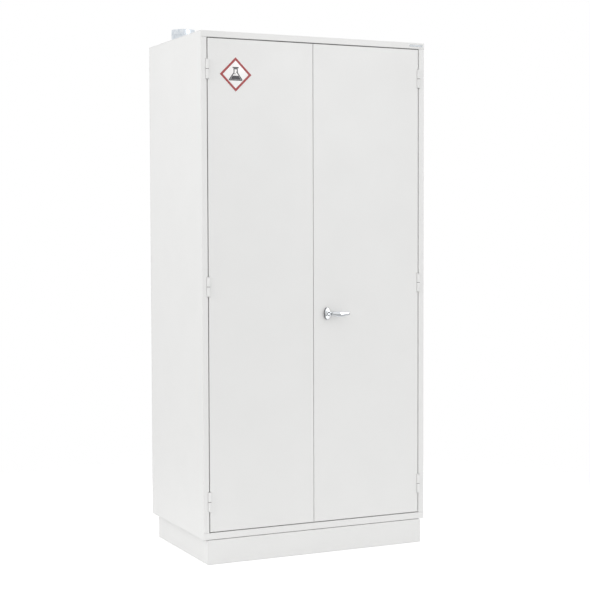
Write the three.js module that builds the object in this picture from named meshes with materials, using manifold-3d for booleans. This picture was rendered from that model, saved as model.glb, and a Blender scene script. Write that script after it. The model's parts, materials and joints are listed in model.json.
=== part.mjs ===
// Ventilated two-door safety cabinet: a folded steel body on a plinth, sump trays on slotted
// uprights, lift-off hinges, and a lever lock that throws two rods by rack and pinion.
// Millimetres, +Z up. The cabinet is built with its front plane at y = 0 and its floor at z = 0.
// The outer group then centres the whole outline, handle included, on the origin.

import * as THREE from 'three';
import { mergeVertices } from 'three/addons/utils/BufferGeometryUtils.js';
import Module from 'manifold-3d';

const wasm = await Module();
wasm.setup();

// ---- Overall size ----
const width = 1000;
const depth = 600;
const height = 2100;

// ---- Sheet metal ----
const bodySheet = 1.5;
const doorSheet = 1.2;
const traySheet = 1.2;
const stripSheet = 1.5;
const bendRadius = 2.5;
const bendSteps = 3;
const clearance = 0.3;

// How far a cutting solid runs on past the metal it cuts.
const overcut = 1;

// ---- Body ----
const plinthHeight = 100;
const plinthSideInset = 17;
const plinthBackInset = 30;
const plinthFlange = 30;
const shadowGap = 2;
const rimWidth = 25;
const sillHeight = 27;
const jambDepth = 22;
const backReturn = 20;
const rivetFromEdge = 12;
const rivetRows = 10;
const rivetColumns = 5;
const rivetRadius = 4;
const rivetDepth = 0.6;

// ---- Doors ----
const doorGap = 3.5;
const meetingGap = 2;
const meetingOffset = -16;
const doorDepth = 20;
const doorEdgeRadius = 1.5;

// ---- Hinges ----
const hingeInset = 124;
const hingeLength = 77;
const barrelRadius = 7;
const barrelProud = 1;
const pinRadius = 4;
const leafThickness = 2;
const leafDepth = 17;
const knuckleGap = 0.5;
const barrelWallEnd = 3;
const barrelChamfer = 1;
const notchClearance = 0.6;
const notchEndGap = 1;

// ---- Lever lock ----
const lockFromMeeting = 59;
const lockHeight = 982;
const roseHalfWidth = 12.5;
const roseHalfHeight = 24.5;
const roseThickness = 11;
const roseEdge = 2.5;
const hubRadius = 11.5;
const hubFront = 21.5;
const hubEdge = [[0, 6], [0.6, 1.6], [2, 0]];
const leverReach = 48;
const leverLength = 84;
const leverThickness = 10;
const leverTop = 9.5;
const leverHeel = 13.5;
const leverHeelPlace = 30;
const leverToe = 6.5;
const leverToeLength = 7;
const leverNeckHalf = 9;
const leverRoot = { front: [5, -20.5], back: [9, -12.8] };
const leverBend = { front: 20, back: 34 };
const leverStraight = 40;
const leverTipEdge = 3;
const coreRadius = 7;
const coreWall = 1.5;
const coreProud = 1.2;
const coreChamfer = 1;
const keySlotWidth = 2.4;
const keySlotLength = 8;
const spindleSide = 8;
const spindleEngagement = 3.5;
const spindleHoleRadius = 6.5;

// ---- Rods and bolts ----
const rodTravel = 20;
const rodThickness = 6;
const rodWidth = 9;
const rodSetback = 4;
const rodTipGap = 5;
const pinionTeeth = 12;
const pressureAngle = THREE.MathUtils.degToRad(25);
const backlash = 0.3;
const rackTeeth = 7;
const caseSheet = 2;
const caseHalfHeight = 38;
const caseSideGap = 2;
const caseBackGap = 3;
const boltTravel = 15;
const boltWidth = 14;
const boltLength = 150;
const boltFromMeeting = 22;
const boltKnobRadius = 5;
const boltKnobLength = 8;

// ---- Duct spigot in the roof ----
const spigotRadius = 50;
const spigotWall = 1.5;
const spigotRise = 67;
const spigotFromSide = 117;
const spigotFromBack = 100;
const spigotFlange = 12;
const spigotHem = 1.2;
const spigotHemHeight = 6;

// ---- Label ----
const labelSide = 98;
const labelThickness = 0.8;
const labelFromStile = 121;
const labelFromTop = 166;

// ---- Blank strip on the roof lip ----
const stripLength = 62;
const stripHeight = 8;
const stripThickness = 0.5;
const stripFromSide = 8;

// ---- Shelving ----
const uprightDepth = 12;
const uprightWidth = 34;
const uprightFromFront = 110;
const uprightFromBack = 90;
const uprightEndGap = 70;
const slotPitch = 75;
const slotHeight = 20;
const slotWidth = 8;
const shelfCount = 4;
const ledgeRise = 28;
const ledgeReach = 30;
const ledgeOverhang = 8;
const tabSideGap = 1;
const tabReach = 3;
const trayFront = 50;
const trayBackGap = 35;
const trayRise = 40;
const trayDoorClearance = 7;
const sumpRise = 80;

// ---- Facets round each turned part ----
const spigotFacets = 32;
const lockFacets = 28;
const boreFacets = 20;
const hingeFacets = 16;
const rivetFacets = 10;

// ---- Places worked out from the sizes above ----
const halfWidth = width / 2;
const rimInner = halfWidth - rimWidth;
const openingBottom = plinthHeight + sillHeight;
const openingTop = height - rimWidth;
const innerBack = depth - bodySheet - clearance;
const doorBottom = openingBottom + doorGap;
const doorTop = openingTop - doorGap;
const doorOuter = rimInner - doorGap;
const hingeX = rimInner - doorGap / 2;
const hingeY = -barrelProud;
const lowHinge = openingBottom + hingeInset;
const highHinge = openingTop - hingeInset;
const hingeHeights = { lower: lowHinge, middle: (lowHinge + highHinge) / 2, upper: highHinge };
const hands = { left: -1, right: 1 };
const linerBack = doorDepth - clearance;
const linerFront = linerBack - doorSheet;
const lockX = meetingOffset + lockFromMeeting;
const coreDepth = hubFront - roseThickness - spindleEngagement - coreWall;
const rodFront = doorDepth + rodSetback;
const rodBack = rodFront + rodThickness;
const pitchRadius = rodTravel / (Math.PI / 2);
const toothModule = (2 * pitchRadius) / pinionTeeth;
const toothPitch = Math.PI * toothModule;
const addendum = toothModule;
const dedendum = 1.25 * toothModule;
const toothThickness = (toothPitch - backlash) / 2;
const rackRoot = pitchRadius + dedendum;
const uprightFace = halfWidth - bodySheet - clearance - uprightDepth;
const ledgeFace = uprightFace - clearance;
const trayHalfWidth = rimInner - trayDoorClearance;
const trayBack = depth - trayBackGap;
const floorTop = plinthHeight + bodySheet;
const firstSlot = plinthHeight + slotPitch;
const slotsPerShelf = Math.floor((openingTop - firstSlot) / (shelfCount + 1) / slotPitch);
const spigotPlace = [-halfWidth + spigotFromSide, depth - spigotFromBack];

// ---- Materials ----
function paint(color, roughness, metalness) {
  return new THREE.MeshStandardMaterial({ color, roughness, metalness });
}

const finishes = {
  whitePowderCoat: () => paint(0xf2f2f0, 0.45, 0),
  greyPowderCoat: () => paint(0xc9cccd, 0.5, 0),
  galvanisedSteel: () => paint(0xc3c8cc, 0.42, 0.9),
  zincPlatedSteel: () => paint(0xb9bdc0, 0.35, 0.9),
  brushedAluminium: () => paint(0xd2d3d2, 0.4, 0.7),
  chromePlate: () => paint(0xd8dadc, 0.12, 1),
  printedLabel: () => paint(0xf7f5f2, 0.35, 0),
};

// ---- Solid tools ----
function solidOf(geometry) {
  const bare = geometry.clone();
  bare.deleteAttribute('normal');
  bare.deleteAttribute('uv');
  const merged = mergeVertices(bare, 1e-4);
  const corners = Array.from(merged.index.array);
  const triVerts = [];
  for (let i = 0; i < corners.length; i += 3) {
    const [a, b, c] = corners.slice(i, i + 3);
    if (a !== b && b !== c && c !== a) triVerts.push(a, b, c);
  }
  return new wasm.Manifold(new wasm.Mesh({
    numProp: 3,
    vertProperties: new Float32Array(merged.attributes.position.array),
    triVerts: new Uint32Array(triVerts),
  }));
}

function geometryOf(solid) {
  const { vertProperties, triVerts } = solid.getMesh();
  const geometry = new THREE.BufferGeometry();
  geometry.setAttribute('position', new THREE.BufferAttribute(vertProperties, 3));
  geometry.setIndex(new THREE.BufferAttribute(triVerts, 1));
  return geometry;
}

function cut(geometry, ...tools) {
  const cutAway = (solid, tool) => solid.subtract(solidOf(tool));
  return geometryOf(tools.reduce(cutAway, solidOf(geometry)));
}

function join(geometry, ...pieces) {
  const add = (solid, piece) => solid.add(solidOf(piece));
  return geometryOf(pieces.reduce(add, solidOf(geometry)));
}

function common(geometry, other) {
  return geometryOf(solidOf(geometry).intersect(solidOf(other)));
}

// ---- Shape tools ----

// A box between two limits on each axis, given in either order.
function block([x0, x1], [y0, y1], [z0, z1]) {
  const box = new THREE.BoxGeometry(Math.abs(x1 - x0), Math.abs(y1 - y0), Math.abs(z1 - z0));
  return box.translate((x0 + x1) / 2, (y0 + y1) / 2, (z0 + z1) / 2);
}

// A shape drawn in plan, x and y, standing from z0 up to z1.
function standing(shape, [z0, z1], curveSegments = 6) {
  const options = { depth: z1 - z0, bevelEnabled: false, curveSegments };
  const solid = new THREE.ExtrudeGeometry(shape, options);
  return solid.translate(0, 0, z0);
}

// A shape drawn on the front elevation, x and z, running back from y0 to y1.
function running(shape, [y0, y1], options = { bevelEnabled: false, curveSegments: 6 }) {
  const solid = new THREE.ExtrudeGeometry(shape, { depth: y1 - y0, ...options });
  return solid.rotateX(Math.PI / 2).translate(0, y1, 0);
}

// A shape drawn on the side section, y and z, spanning from x0 to x1.
function spanning(shape, [x0, x1]) {
  const solid = new THREE.ExtrudeGeometry(shape, { depth: x1 - x0, bevelEnabled: false });
  return solid.rotateX(Math.PI / 2).rotateZ(Math.PI / 2).translate(x0, 0, 0);
}

// A closed profile of radius and height, turned about the y axis.
function turnedAboutY(profile, segments) {
  const points = profile.map(([radius, along]) => new THREE.Vector2(radius, along));
  if (THREE.ShapeUtils.area(points) < 0) points.reverse();
  points.push(points[0].clone());
  return new THREE.LatheGeometry(points, segments);
}

function turnedAboutZ(profile, segments) {
  return turnedAboutY(profile, segments).rotateX(Math.PI / 2);
}

function roundBar(radius, [y0, y1], segments) {
  return turnedAboutY([[0, y0], [radius, y0], [radius, y1], [0, y1]], segments);
}

function rectangle([x0, x1], [y0, y1]) {
  const corners = [[x0, y0], [x1, y0], [x1, y1], [x0, y1]];
  return new THREE.Shape(corners.map(([x, y]) => new THREE.Vector2(x, y)));
}

// The outline of a sheet whose middle plane follows the corners, with every right-angle fold
// rounded to the outer bend radius.
function foldedSheet(corners, thickness) {
  const path = corners.map(([x, y]) => new THREE.Vector2(x, y));
  const midRadius = bendRadius - thickness / 2;
  const near = [];
  const far = [];
  const addPair = (point, leftward) => {
    near.push(point.clone().addScaledVector(leftward, thickness / 2));
    far.unshift(point.clone().addScaledVector(leftward, -thickness / 2));
  };
  const directionFrom = (i) => path[i + 1].clone().sub(path[i]).normalize();
  const leftOf = (direction) => new THREE.Vector2(-direction.y, direction.x);
  addPair(path[0], leftOf(directionFrom(0)));
  for (let i = 1; i < path.length - 1; i += 1) {
    const arriving = directionFrom(i - 1);
    const leaving = directionFrom(i);
    const turn = Math.sign(arriving.cross(leaving));
    const centre = path[i].clone().addScaledVector(arriving, -midRadius);
    centre.addScaledVector(leaving, midRadius);
    for (let step = 0; step <= bendSteps; step += 1) {
      const angle = (step / bendSteps) * (Math.PI / 2);
      const outward = leaving.clone().multiplyScalar(-Math.cos(angle));
      outward.addScaledVector(arriving, Math.sin(angle));
      addPair(centre.clone().addScaledVector(outward, midRadius), outward.clone().multiplyScalar(-turn));
    }
  }
  addPair(path[path.length - 1], leftOf(directionFrom(path.length - 2)));
  return new THREE.Shape([...near, ...far]);
}

function piece(name, geometry, finish, place = [0, 0, 0]) {
  const mesh = new THREE.Mesh(geometry, finishes[finish]());
  mesh.name = name;
  mesh.position.set(...place);
  return mesh;
}

// ---- Body shell ----

// Clear space for the hinge barrels where a sheet edge meets them.
function hingeNotches(hand, reachSign) {
  const reach = hingeX + reachSign * (barrelRadius + notchClearance);
  const back = hingeY + barrelRadius + notchClearance;
  const half = hingeLength / 2 + notchEndGap;
  return Object.values(hingeHeights).map((z) => (
    block([hand * hingeX, hand * reach], [-overcut, back], [z - half, z + half])
  ));
}

// Side wall with its rear return, its front stile and the jamb beside the door. The stile fits
// between the lips of the roof and the floor.
function sidePanel(hand) {
  const wall = halfWidth - bodySheet / 2;
  const returnPlane = innerBack - bodySheet / 2;
  const jamb = rimInner + bodySheet / 2;
  const profile = foldedSheet([
    [hand * (halfWidth - backReturn), returnPlane],
    [hand * wall, returnPlane],
    [hand * wall, bodySheet / 2],
    [hand * jamb, bodySheet / 2],
    [hand * jamb, jambDepth],
  ], bodySheet);
  const bottom = plinthHeight + bodySheet + clearance;
  const top = height - bodySheet - clearance;
  const wallInside = hand * (halfWidth - bodySheet);
  const beyondWall = hand * (halfWidth + overcut);
  const beforeJamb = hand * (rimInner - overcut);
  const ends = [
    [bottom - overcut, openingBottom + clearance],
    [openingTop - clearance, top + overcut],
  ];
  const lipNotches = ends.flatMap((reach) => [
    block([beforeJamb, wallInside], [-overcut, jambDepth + overcut], reach),
    block([beforeJamb, beyondWall], [-overcut, bodySheet + clearance], reach),
  ]);
  return cut(standing(profile, [bottom, top]), ...lipNotches, ...hingeNotches(hand, 1));
}

// Roof or floor sheet: a rear return, the flat, a full-width front lip, and a ledge behind the lip
// that fits between the side walls.
function deckPanel(outerFace, lipEdge) {
  const inward = Math.sign(lipEdge - outerFace);
  const flat = outerFace + inward * (bodySheet / 2);
  const ledge = lipEdge - inward * (bodySheet / 2);
  const returnPlane = innerBack - bodySheet / 2;
  const profile = foldedSheet([
    [returnPlane, outerFace + inward * backReturn],
    [returnPlane, flat],
    [bodySheet / 2, flat],
    [bodySheet / 2, ledge],
    [jambDepth, ledge],
  ], bodySheet);
  const ledgeEnd = halfWidth - bodySheet - clearance;
  const returnEnd = halfWidth - backReturn - clearance;
  const beyondEnd = halfWidth + overcut;
  const flatInside = outerFace + inward * bodySheet;
  const beyondLip = lipEdge + inward * overcut;
  const beyondReturn = outerFace + inward * (backReturn + overcut);
  const ledgeRun = [bodySheet + clearance, jambDepth + overcut];
  const returnRun = [returnPlane - bendRadius, depth];
  const trims = Object.values(hands).flatMap((hand) => [
    block([hand * ledgeEnd, hand * beyondEnd], ledgeRun, [flatInside, beyondLip]),
    block([hand * returnEnd, hand * beyondEnd], returnRun, [flatInside, beyondReturn]),
  ]);
  return cut(spanning(profile, [-halfWidth, halfWidth]), ...trims);
}

function roofPanel() {
  const below = height - backReturn;
  const above = height + overcut;
  const bore = turnedAboutZ(
    [[0, below], [spigotRadius, below], [spigotRadius, above], [0, above]],
    spigotFacets,
  );
  return cut(deckPanel(height, openingTop), bore.translate(...spigotPlace, 0));
}

function ventSpigot() {
  const inner = spigotRadius - spigotWall;
  const hemInner = inner - spigotHem;
  const foot = height + clearance;
  const top = height + spigotRise;
  const profile = [
    [inner, foot],
    [spigotRadius + spigotFlange, foot],
    [spigotRadius + spigotFlange, foot + spigotWall],
    [spigotRadius, foot + spigotWall],
    [spigotRadius, top - spigotHem / 2],
    [spigotRadius - spigotHem / 2, top],
    [hemInner, top],
    [hemInner, top - spigotHemHeight],
    [inner, top - spigotHemHeight - spigotHem],
  ];
  return turnedAboutZ(profile, spigotFacets).translate(...spigotPlace, 0);
}

// Plain strip at the right-hand end of the roof lip.
function nameStrip() {
  const end = halfWidth - stripFromSide;
  const middle = height - rimWidth / 2;
  return block(
    [end - stripLength, end],
    [-clearance - stripThickness, -clearance],
    [middle - stripHeight / 2, middle + stripHeight / 2],
  );
}

// Back sheet, with a countersunk seat round its edge for each rivet.
function backPanel() {
  const sheet = block([-halfWidth, halfWidth], [depth - bodySheet, depth], [plinthHeight, height]);
  const ends = [plinthHeight + rivetFromEdge, height - rivetFromEdge];
  const lift = (ends[1] - ends[0]) / rivetRows;
  const places = [];
  for (let row = 0; row <= rivetRows; row += 1) {
    Object.values(hands).forEach((hand) => {
      places.push([hand * (halfWidth - rivetFromEdge), ends[0] + row * lift]);
    });
  }
  const stride = (2 * (halfWidth - rivetFromEdge)) / rivetColumns;
  for (let column = 1; column < rivetColumns; column += 1) {
    ends.forEach((z) => places.push([rivetFromEdge - halfWidth + column * stride, z]));
  }
  const seats = places.map(([x, z]) => (
    roundBar(rivetRadius, [depth - rivetDepth, depth + overcut], rivetFacets).translate(x, 0, z)
  ));
  return cut(sheet, ...seats);
}

// ---- Plinth ----
const plinthTop = plinthHeight - shadowGap;
const plinthHalfWidth = halfWidth - plinthSideInset;
const plinthBack = depth - plinthBackInset;

function channelSection(face, inward) {
  const flangeEnd = face + inward * plinthFlange;
  const web = face + inward * (bodySheet / 2);
  return foldedSheet([
    [flangeEnd, plinthTop - bodySheet / 2],
    [web, plinthTop - bodySheet / 2],
    [web, bodySheet / 2],
    [flangeEnd, bodySheet / 2],
  ], bodySheet);
}

// Front or back rail, set between the webs of the side rails.
function plinthCrossRail(face, inward) {
  const end = plinthHalfWidth - bodySheet - clearance;
  return spanning(channelSection(face, inward), [-end, end]);
}

// Side rail, full length, with its flanges cut back for the front and back rails.
function plinthSideRail(hand) {
  const rail = running(channelSection(hand * plinthHalfWidth, -hand), [0, plinthBack]);
  const webInside = hand * (plinthHalfWidth - bodySheet);
  const beyondFlange = hand * (plinthHalfWidth - plinthFlange - overcut);
  const cornerLength = plinthFlange + clearance;
  const corners = [
    [-overcut, cornerLength],
    [plinthBack - cornerLength, plinthBack + overcut],
  ];
  const wholeHeight = [-overcut, plinthTop + overcut];
  return cut(rail, ...corners.map((run) => block([webInside, beyondFlange], run, wholeHeight)));
}

// ---- Shelving ----
const uprightPlaces = {
  front: uprightFromFront,
  rear: depth - uprightFromBack - uprightWidth,
};

// Shelf upright: a slotted channel that stands against the side wall.
function shelfUpright(hand, front) {
  const wallFace = halfWidth - bodySheet - clearance;
  const web = uprightFace + stripSheet / 2;
  const near = front + stripSheet / 2;
  const away = front + uprightWidth - stripSheet / 2;
  const profile = foldedSheet(
    [[hand * wallFace, near], [hand * web, near], [hand * web, away], [hand * wallFace, away]],
    stripSheet,
  );
  const bottom = floorTop + uprightEndGap;
  const top = openingTop - uprightEndGap;
  const middle = front + uprightWidth / 2;
  const slots = [];
  for (let z = firstSlot + slotPitch; z + slotHeight < top; z += slotPitch) {
    slots.push(block(
      [hand * (uprightFace - overcut), hand * (uprightFace + stripSheet + overcut)],
      [middle - slotWidth / 2, middle + slotWidth / 2],
      [z - slotHeight / 2, z + slotHeight / 2],
    ));
  }
  return cut(standing(profile, [bottom, top]), ...slots);
}

// Shelf ledge: an angle that runs front to back, with a tab in a slot of each upright.
function shelfLedge(hand) {
  const leg = ledgeFace - stripSheet / 2;
  const seat = -stripSheet / 2;
  const profile = foldedSheet(
    [[hand * leg, ledgeRise], [hand * leg, seat], [hand * (leg - ledgeReach), seat]],
    stripSheet,
  );
  const front = uprightPlaces.front - ledgeOverhang;
  const back = uprightPlaces.rear + uprightWidth + ledgeOverhang;
  const tabHalf = slotWidth / 2 - tabSideGap;
  const tabEnd = uprightFace + stripSheet + tabReach;
  const tabs = Object.values(uprightPlaces).map((place) => {
    const middle = place + uprightWidth / 2;
    return block(
      [hand * leg, hand * tabEnd],
      [middle - tabHalf, middle + tabHalf],
      [-slotHeight / 2 + clearance, slotHeight / 4],
    );
  });
  return join(running(profile, [front, back]), ...tabs);
}

function openTray(halfSpan, [y0, y1], rise) {
  const body = block([-halfSpan, halfSpan], [y0, y1], [0, rise]);
  const inside = block(
    [-halfSpan + traySheet, halfSpan - traySheet],
    [y0 + traySheet, y1 - traySheet],
    [traySheet, rise + overcut],
  );
  return cut(body, inside);
}

// ---- Hinges ----

// Half a barrel with a blind bore and a welded leaf. up is 1 for the door half that opens
// downwards over the pin, and -1 for the frame half that holds the pin.
function knuckle(hand, up, leafSide) {
  const near = up * (knuckleGap / 2);
  const end = up * (hingeLength / 2);
  const boreEnd = end - up * barrelWallEnd;
  const bore = pinRadius + clearance;
  const barrel = turnedAboutZ([
    [0, end],
    [barrelRadius - barrelChamfer, end],
    [barrelRadius, end - up * barrelChamfer],
    [barrelRadius, near],
    [bore, near],
    [bore, boreEnd],
    [0, boreEnd],
  ], hingeFacets);
  const sheet = leafSide > 0 ? bodySheet : doorSheet;
  const leafNear = leafSide * (doorGap / 2 + sheet + clearance);
  const leafFar = leafNear + leafSide * leafThickness;
  const leaf = block([hand * leafNear, hand * leafFar], [bore, leafDepth + barrelProud], [near, end]);
  return join(barrel, leaf);
}

function hingePin() {
  const half = hingeLength / 2 - barrelWallEnd - clearance;
  const profile = [[0, -half], [pinRadius, -half], [pinRadius, half], [0, half]];
  return turnedAboutZ(profile, hingeFacets);
}

// ---- Doors ----
const doorSpans = {
  left: [-doorOuter, meetingOffset - meetingGap / 2],
  right: [meetingOffset + meetingGap / 2, doorOuter],
};

// Pressed door skin: a tray that opens backwards, with softly rounded front edges.
function doorSkin(side, ...openings) {
  const [x0, x1] = doorSpans[side];
  const face = rectangle(
    [x0 + doorEdgeRadius, x1 - doorEdgeRadius],
    [doorBottom + doorEdgeRadius, doorTop - doorEdgeRadius],
  );
  const rounding = {
    bevelEnabled: true,
    bevelSegments: 2,
    bevelSize: doorEdgeRadius,
    bevelThickness: doorEdgeRadius,
  };
  const slab = running(face, [doorEdgeRadius, 2 * doorDepth], rounding);
  const inside = block(
    [x0 + doorSheet, x1 - doorSheet],
    [doorSheet, doorDepth],
    [doorBottom + doorSheet, doorTop - doorSheet],
  );
  const behind = block(
    [x0 - overcut, x1 + overcut],
    [doorDepth, 2 * doorDepth + 2 * doorEdgeRadius],
    [doorBottom - overcut, doorTop + overcut],
  );
  return cut(slab, behind, inside, ...hingeNotches(hands[side], -1), ...openings);
}

function doorLiner(side, ...openings) {
  const [x0, x1] = doorSpans[side];
  const edge = doorSheet + clearance;
  const rise = [doorBottom + edge, doorTop - edge];
  const sheet = block([x0 + edge, x1 - edge], [linerFront, linerBack], rise);
  return openings.length ? cut(sheet, ...openings) : sheet;
}

function spindleHole() {
  const hole = roundBar(spindleHoleRadius, [-overcut, 2 * doorDepth], boreFacets);
  return hole.translate(lockX, 0, lockHeight);
}

function doorLabel() {
  const half = labelSide / 2;
  const square = rectangle([-half, half], [-half, half]);
  return running(square, [-labelThickness, 0]).rotateY(Math.PI / 4);
}

// ---- Lock, drawn about the spindle axis with the door face at y = 0 ----

// Upright oval rose with a rounded front edge.
function handleRose() {
  const face = new THREE.Shape();
  face.absellipse(0, 0, roseHalfWidth - roseEdge, roseHalfHeight - roseEdge, 0, 2 * Math.PI);
  const rounding = {
    bevelEnabled: true,
    bevelSegments: 3,
    bevelSize: roseEdge,
    bevelThickness: roseEdge,
    curveSegments: lockFacets / 2,
  };
  const blank = running(face, [roseEdge - roseThickness, overcut], rounding);
  const behind = block(
    [-roseHalfWidth - overcut, roseHalfWidth + overcut],
    [-clearance, roseEdge + 2 * overcut],
    [-roseHalfHeight - overcut, roseHalfHeight + overcut],
  );
  const hole = roundBar(spindleHoleRadius, [-roseThickness - overcut, 0], boreFacets);
  return cut(blank, behind, hole);
}

// Lever arm: its plan and its elevation are drawn separately, and the arm fills both. It cranks
// out from the hub, is deepest at the heel of the grip and tapers from there to the toe.
function leverArm() {
  const outer = -leverReach;
  const inner = outer + leverThickness;
  const tip = leverLength;
  const edge = leverTipEdge;
  const [backX, backY] = leverRoot.back;
  const plan = new THREE.Shape();
  plan.moveTo(0, leverRoot.front[1]);
  plan.lineTo(...leverRoot.front);
  plan.quadraticCurveTo(leverBend.front, outer, leverStraight, outer);
  plan.lineTo(tip - edge, outer);
  plan.quadraticCurveTo(tip, outer, tip, outer + edge);
  plan.lineTo(tip, inner - edge);
  plan.quadraticCurveTo(tip, inner, tip - edge, inner);
  plan.quadraticCurveTo(leverBend.back, inner, backX, backY);
  plan.lineTo(0, backY);
  const elevation = new THREE.Shape();
  elevation.moveTo(0, -leverNeckHalf);
  elevation.quadraticCurveTo(leverHeelPlace / 2, -leverNeckHalf, leverHeelPlace, -leverHeel);
  elevation.lineTo(tip - leverToeLength, -leverToe);
  elevation.quadraticCurveTo(tip, -leverToe, tip, 0);
  elevation.quadraticCurveTo(tip, leverTop, tip - leverToeLength, leverTop);
  elevation.quadraticCurveTo(leverHeelPlace, leverTop, 0, leverNeckHalf);
  const flat = standing(plan, [-leverHeel - overcut, leverTop + overcut]);
  return common(flat, running(elevation, [outer - overcut, 0]));
}

function leverHandle() {
  const back = -roseThickness - clearance;
  const hub = turnedAboutY([
    [0, back],
    [hubRadius, back],
    ...hubEdge.map(([inward, behind]) => [hubRadius - inward, behind - hubFront]),
    [0, -hubFront],
  ], lockFacets);
  const boreRun = [-leverReach - overcut, -hubFront + coreDepth];
  const coreBore = roundBar(coreRadius + clearance, boreRun, boreFacets);
  const half = spindleSide / 2 + clearance;
  const socket = block([-half, half], [back - spindleEngagement, 0], [-half, half]);
  return cut(join(hub, leverArm()), coreBore, socket);
}

function keyCore() {
  const front = -hubFront - coreProud;
  const back = -hubFront + coreDepth - clearance;
  const plug = turnedAboutY([
    [0, back],
    [coreRadius, back],
    [coreRadius, front + coreChamfer],
    [coreRadius - coreChamfer, front],
    [0, front],
  ], boreFacets);
  const slot = block(
    [-keySlotWidth / 2, keySlotWidth / 2],
    [front - overcut, front + coreDepth / 2],
    [-keySlotLength / 2, keySlotLength / 2],
  );
  return cut(plug, slot);
}

// Involute pinion outline with a tooth space centred on each side, where the racks mesh.
function pinionOutline() {
  const baseRadius = pitchRadius * Math.cos(pressureAngle);
  const tipRadius = pitchRadius + addendum;
  const rootRadius = pitchRadius - dedendum;
  const involute = (angle) => Math.tan(angle) - angle;
  const pitchHalfAngle = toothThickness / 2 / pitchRadius + involute(pressureAngle);
  const halfAngleAt = (radius) => (
    pitchHalfAngle - involute(Math.acos(Math.min(1, baseRadius / radius)))
  );
  const flankSteps = 3;
  const radii = [rootRadius];
  for (let step = 0; step <= flankSteps; step += 1) {
    radii.push(baseRadius + ((tipRadius - baseRadius) * step) / flankSteps);
  }
  const points = [];
  const addFlank = (middle, side, order) => {
    order.forEach((radius) => {
      const angle = middle + side * halfAngleAt(radius);
      points.push(new THREE.Vector2(radius * Math.cos(angle), radius * Math.sin(angle)));
    });
  };
  const inwards = [...radii].reverse();
  for (let tooth = 0; tooth < pinionTeeth; tooth += 1) {
    const middle = ((tooth + 0.5) / pinionTeeth) * 2 * Math.PI;
    addFlank(middle, -1, radii);
    addFlank(middle, 1, inwards);
  }
  return new THREE.Shape(points);
}

// The square spindle from the lever through the door, with the pinion on its end.
function drivePinion() {
  const half = spindleSide / 2;
  const front = -roseThickness - spindleEngagement;
  const spindle = block([-half, half], [front, rodBack], [-half, half]);
  return join(running(pinionOutline(), [rodFront, rodBack]), spindle);
}

// Lock rod: a flat bar with a rack on the pinion side. along is 1 upwards and -1 downwards,
// and the upward rod runs on the left of the pinion.
function lockRod(along, tip) {
  const side = -along;
  const outer = side * (rackRoot + rodWidth);
  const root = side * rackRoot;
  const rackStart = -along * (rodTravel + toothPitch);
  const shoulder = tip - along * rodWidth;
  const slope = Math.tan(pressureAngle);
  const halfTip = toothThickness / 2 - addendum * slope;
  const halfRoot = toothThickness / 2 + dedendum * slope;
  const outline = [
    [outer, rackStart - along * toothPitch],
    [outer, shoulder],
    [outer - side * (rodWidth / 3), tip],
    [root + side * (rodWidth / 3), tip],
    [root, shoulder],
  ];
  for (let tooth = 1; tooth >= -(rackTeeth - 2); tooth -= 1) {
    const middle = along * tooth * toothPitch;
    outline.push([root, middle + along * halfRoot]);
    outline.push([side * (pitchRadius - addendum), middle + along * halfTip]);
    outline.push([side * (pitchRadius - addendum), middle - along * halfTip]);
    outline.push([root, middle - along * halfRoot]);
  }
  outline.push([root, rackStart - along * toothPitch]);
  const shape = new THREE.Shape(outline.map(([x, z]) => new THREE.Vector2(x, z)));
  return running(shape, [rodFront, rodBack]);
}

// Lock case: a shallow box behind the door liner that covers the pinion and both racks.
function lockCase() {
  const halfSpan = rackRoot + rodWidth + caseSideGap;
  const front = doorDepth + clearance;
  const back = rodBack + caseBackGap;
  const shell = block(
    [-halfSpan - caseSheet, halfSpan + caseSheet],
    [front, back + caseSheet],
    [-caseHalfHeight - caseSheet, caseHalfHeight + caseSheet],
  );
  const cavity = block(
    [-halfSpan, halfSpan],
    [front - overcut, back],
    [-caseHalfHeight, caseHalfHeight],
  );
  const slotSideGap = caseSideGap / 2;
  const rodSlots = [1, -1].map((along) => block(
    [-along * (rackRoot - slotSideGap), -along * (rackRoot + rodWidth + slotSideGap)],
    [front - overcut, rodBack + slotSideGap],
    [0, along * (caseHalfHeight + caseSheet + overcut)],
  ));
  return cut(shell, cavity, ...rodSlots);
}

// ---- Slide bolts of the left door ----

// Bolt drawn back from its tip. along is 1 for the bolt that shoots upwards.
function slideBolt(along) {
  const start = -along * boltLength;
  const shoulder = -along * (boltWidth / 2);
  const outline = [
    [-boltWidth / 2, start],
    [boltWidth / 2, start],
    [boltWidth / 2, shoulder],
    [boltWidth / 4, 0],
    [-boltWidth / 4, 0],
    [-boltWidth / 2, shoulder],
  ];
  const shape = new THREE.Shape(outline.map(([x, z]) => new THREE.Vector2(x, z)));
  const bar = running(shape, [rodFront, rodBack]);
  const knobRun = [rodBack - overcut, rodBack + boltKnobLength];
  const knob = roundBar(boltKnobRadius, knobRun, boreFacets);
  return join(bar, knob.translate(0, 0, start + along * boltWidth));
}

// ---- Assembly ----
function hingeSet(side) {
  const hand = hands[side];
  return Object.entries(hingeHeights).flatMap(([level, z]) => {
    const place = [hand * hingeX, hingeY, z];
    return [
      piece(`${side}_frame_knuckle_${level}`, knuckle(hand, -1, 1), 'whitePowderCoat', place),
      piece(`${side}_door_knuckle_${level}`, knuckle(hand, 1, -1), 'whitePowderCoat', place),
      piece(`${side}_hinge_pin_${level}`, hingePin(), 'zincPlatedSteel', place),
    ];
  });
}

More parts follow.
